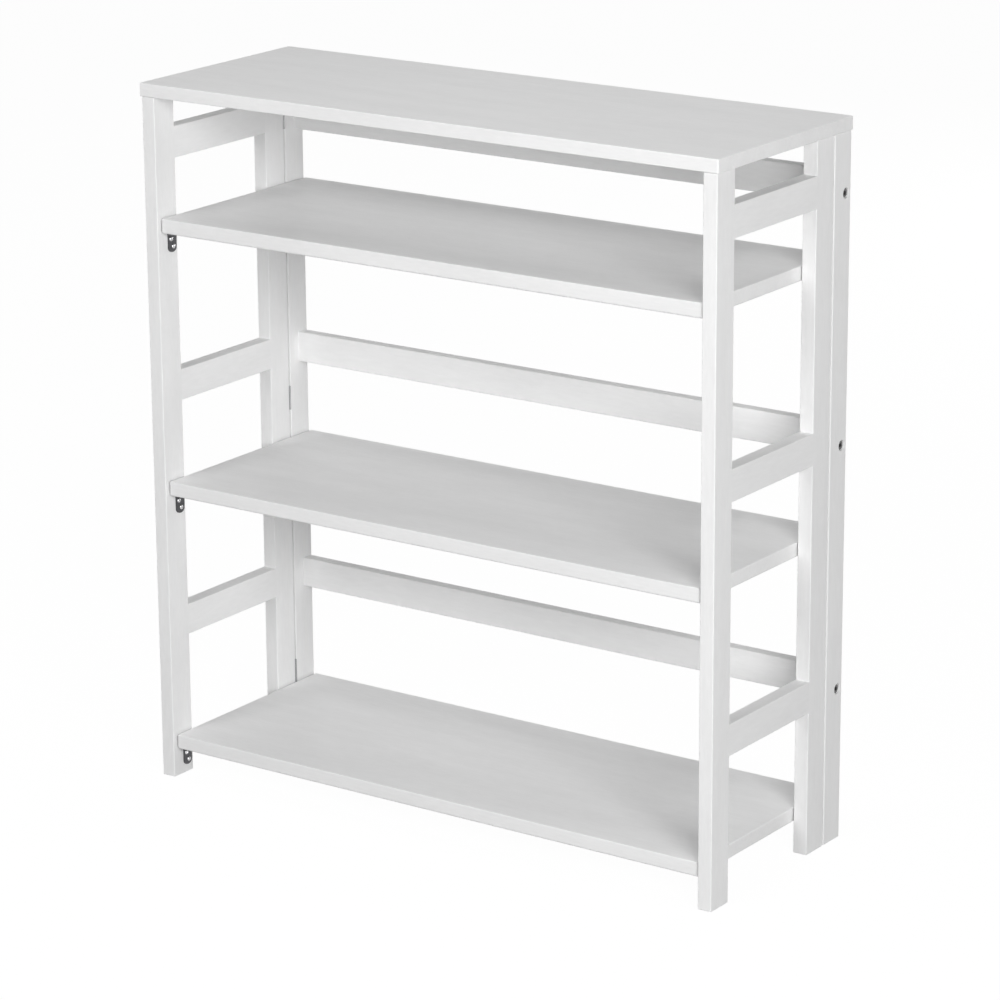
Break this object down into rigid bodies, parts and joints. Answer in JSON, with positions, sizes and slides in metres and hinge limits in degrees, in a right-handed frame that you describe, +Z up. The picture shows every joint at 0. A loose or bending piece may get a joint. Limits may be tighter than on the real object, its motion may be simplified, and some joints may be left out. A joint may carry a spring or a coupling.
{
  "type": "folding bookcase",
  "caption": "Open folding bookcase: side frames hinged to a back frame, flip-up shelves on pins and brackets, and a hinged top board.",
  "frame": {"origin": "on the floor, at the middle of the whole width and depth", "axes": "+Z up, front towards -Y, +X to the right seen from the front"},
  "size_m": [0.8, 0.2924, 0.864],
  "materials": {
    "white_paint": "wood under white semi-matt paint with a faint brushed grain",
    "bracket_steel": "dark grey lacquered steel, semi-gloss",
    "hinge_steel": "dull grey plated steel",
    "bolt_steel": "blackened steel"
  },
  "bodies": {
    "frame": {"left_front_post": "white_paint", "left_rear_post": "white_paint", "left_lower_rail": "white_paint", "left_middle_rail": "white_paint", "left_top_rail": "white_paint", "back_left_post": "white_paint", "left_lower_rail_bolt": "bolt_steel", "left_middle_rail_bolt": "bolt_steel", "left_top_rail_bolt": "bolt_steel", "left_lower_shelf_bracket": "bracket_steel", "left_lower_shelf_pin": "hinge_steel", "left_lower_hinge_frame_leaf": "hinge_steel", "left_lower_hinge_back_leaf": "hinge_steel", "left_lower_hinge_pin": "hinge_steel", "left_middle_shelf_bracket": "bracket_steel", "left_middle_shelf_pin": "hinge_steel", "left_middle_hinge_frame_leaf": "hinge_steel", "left_middle_hinge_back_leaf": "hinge_steel", "left_middle_hinge_pin": "hinge_steel", "left_upper_shelf_bracket": "bracket_steel", "left_upper_shelf_pin": "hinge_steel", "left_upper_hinge_frame_leaf": "hinge_steel", "left_upper_hinge_back_leaf": "hinge_steel", "left_upper_hinge_pin": "hinge_steel", "top_left_hinge_fixed_leaf": "hinge_steel", "right_front_post": "white_paint", "right_rear_post": "white_paint", "right_lower_rail": "white_paint", "right_middle_rail": "white_paint", "right_top_rail": "white_paint", "back_right_post": "white_paint", "right_lower_rail_bolt": "bolt_steel", "right_middle_rail_bolt": "bolt_steel", "right_top_rail_bolt": "bolt_steel", "right_lower_shelf_bracket": "bracket_steel", "right_lower_shelf_pin": "hinge_steel", "right_lower_hinge_frame_leaf": "hinge_steel", "right_lower_hinge_back_leaf": "hinge_steel", "right_lower_hinge_pin": "hinge_steel", "right_middle_shelf_bracket": "bracket_steel", "right_middle_shelf_pin": "hinge_steel", "right_middle_hinge_frame_leaf": "hinge_steel", "right_middle_hinge_back_leaf": "hinge_steel", "right_middle_hinge_pin": "hinge_steel", "right_upper_shelf_bracket": "bracket_steel", "right_upper_shelf_pin": "hinge_steel", "right_upper_hinge_frame_leaf": "hinge_steel", "right_upper_hinge_back_leaf": "hinge_steel", "right_upper_hinge_pin": "hinge_steel", "top_right_hinge_fixed_leaf": "hinge_steel", "back_lower_rail": "white_paint", "back_middle_rail": "white_paint", "back_top_rail": "white_paint"},
    "top_board": {"top_board": "white_paint", "top_left_hinge_moving_leaf": "hinge_steel", "top_right_hinge_moving_leaf": "hinge_steel"},
    "lower_shelf": {"lower_shelf": "white_paint"},
    "middle_shelf": {"middle_shelf": "white_paint"},
    "upper_shelf": {"upper_shelf": "white_paint"}
  },
  "joints": [
    {"name": "top_flip", "type": "hinge", "parent": "frame", "child": "top_board", "pos_m": [0, 0.14325, 0.848], "axis": [-1, 0, 0], "range_deg": [0, 90]},
    {"name": "upper_shelf_flip", "type": "hinge", "parent": "frame", "child": "upper_shelf", "pos_m": [0, 0.11175, 0.6935], "axis": [-1, 0, 0], "range_deg": [0, 90]},
    {"name": "middle_shelf_flip", "type": "hinge", "parent": "frame", "child": "middle_shelf", "pos_m": [0, 0.11175, 0.3695], "axis": [-1, 0, 0], "range_deg": [0, 90]},
    {"name": "lower_shelf_flip", "type": "hinge", "parent": "frame", "child": "lower_shelf", "pos_m": [0, 0.11175, 0.0455], "axis": [-1, 0, 0], "range_deg": [0, 90]}
  ],
  "couplings": [
    {"joint": "upper_shelf_flip", "follows": "top_flip", "ratio": 1}
  ]
}
